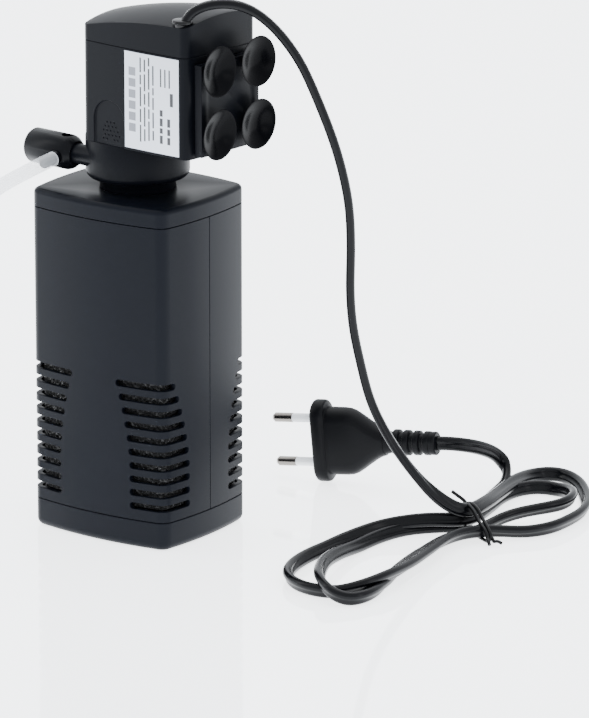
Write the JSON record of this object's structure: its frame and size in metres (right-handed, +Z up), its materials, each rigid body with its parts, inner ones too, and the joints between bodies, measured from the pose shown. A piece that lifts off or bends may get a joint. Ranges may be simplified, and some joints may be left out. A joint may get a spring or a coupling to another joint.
{
  "type": "internal power filter",
  "caption": "Internal aquarium filter: slotted sponge canister, swivelling motor head with air-fed outlet nozzle, suction cups and a mains lead.",
  "frame": {"origin": "centre of the base cap's underside, where the filter stands", "axes": "+Z up along the canister and the pump's axis, +X towards the wide face on the label side, +Y towards the suction cup side; the head is turned 4.5 degrees clockwise on the canister, seen from above"},
  "size_m": [0.2855, 0.245, 0.2295],
  "materials": {
    "canister_plastic": "satin, fine moulded texture",
    "head_plastic": "satin",
    "nozzle_plastic": "semi-gloss",
    "inner_plastic": "satin",
    "clip_plastic": "satin",
    "cup_rubber": "glossy, soft",
    "seal_rubber": "matt",
    "sponge_foam": "open cell foam",
    "magnet": "moulded ferrite",
    "shaft_ceramic": "polished",
    "core_steel": "laminated",
    "bobbin_plastic": "satin",
    "copper_wire": "enamelled",
    "potting_resin": "cast resin",
    "label_film": "semi-gloss sticker",
    "cord_pvc": "semi-gloss sheath",
    "plug_pvc": "satin",
    "tie_wire": "coated wire",
    "sleeve_plastic": "smooth",
    "pin_metal": "nickel plated",
    "hose_silicone": "clear soft hose"
  },
  "bodies": {
    "canister": {"base_cap": "canister_plastic", "shell_label_side": "canister_plastic", "canister_lid": "canister_plastic", "filter_sponge": "sponge_foam", "intake_strainer": "inner_plastic"},
    "far_shell": {"shell_far_side": "canister_plastic"},
    "head": {"volute_housing": "head_plastic", "neck_clip": "clip_plastic", "neck_seal": "seal_rubber", "volute_seal": "seal_rubber", "rotor_shaft": "shaft_ceramic", "shaft_bush_lower": "seal_rubber", "shaft_bush_upper": "seal_rubber", "motor_housing": "head_plastic", "stator_core": "core_steel", "bobbin_left": "bobbin_plastic", "bobbin_right": "bobbin_plastic", "winding_left": "copper_wire", "winding_right": "copper_wire", "potting_block": "potting_resin", "top_cover": "head_plastic", "rating_label": "label_film", "cord_gland": "seal_rubber", "power_cord": "cord_pvc", "cord_hank": "cord_pvc", "cord_tie": "tie_wire", "plug_body": "plug_pvc", "pin_sleeve_upper": "sleeve_plastic", "pin_sleeve_lower": "sleeve_plastic", "plug_pin_upper": "pin_metal", "plug_pin_lower": "pin_metal", "air_hose": "hose_silicone", "air_hose_coil": "hose_silicone", "air_valve_body": "nozzle_plastic"},
    "rotor": {"impeller": "clip_plastic", "rotor_magnet": "magnet"},
    "nozzle": {"outlet_nozzle": "nozzle_plastic", "air_barb": "nozzle_plastic"},
    "cup_bracket": {"suction_cup_bracket": "head_plastic", "suction_cup_1": "cup_rubber", "suction_cup_2": "cup_rubber", "suction_cup_3": "cup_rubber", "suction_cup_4": "cup_rubber"},
    "valve_knob": {"air_valve_knob": "nozzle_plastic"}
  },
  "joints": [
    {"name": "head_swivel", "type": "hinge", "parent": "canister", "child": "head", "pos_m": [0, 0, 0.14], "axis": [0, 0, 1], "range_deg": [-180, 180]},
    {"name": "shell_pull_off", "type": "slide", "parent": "canister", "child": "far_shell", "axis": [-1, 0, 0], "range_m": [0, 0.038]},
    {"name": "rotor_spin", "type": "hinge", "parent": "head", "child": "rotor", "pos_m": [0, 0, 0.18], "axis": [0, 0, 1], "continuous": true},
    {"name": "nozzle_turn", "type": "hinge", "parent": "head", "child": "nozzle", "pos_m": [0.0131, -0.03112, 0.156], "axis": [-0.0785, -0.9969, 0], "range_deg": [-30, 30], "deforming": ["air_hose"]},
    {"name": "bracket_slide", "type": "slide", "parent": "head", "child": "cup_bracket", "axis": [0, 0, -1], "range_m": [0, 0.029]},
    {"name": "valve_knob_turn", "type": "hinge", "parent": "head", "child": "valve_knob", "pos_m": [0.06, -0.088, 0.0112], "axis": [0, 0, 1], "range_deg": [-90, 90]}
  ]
}
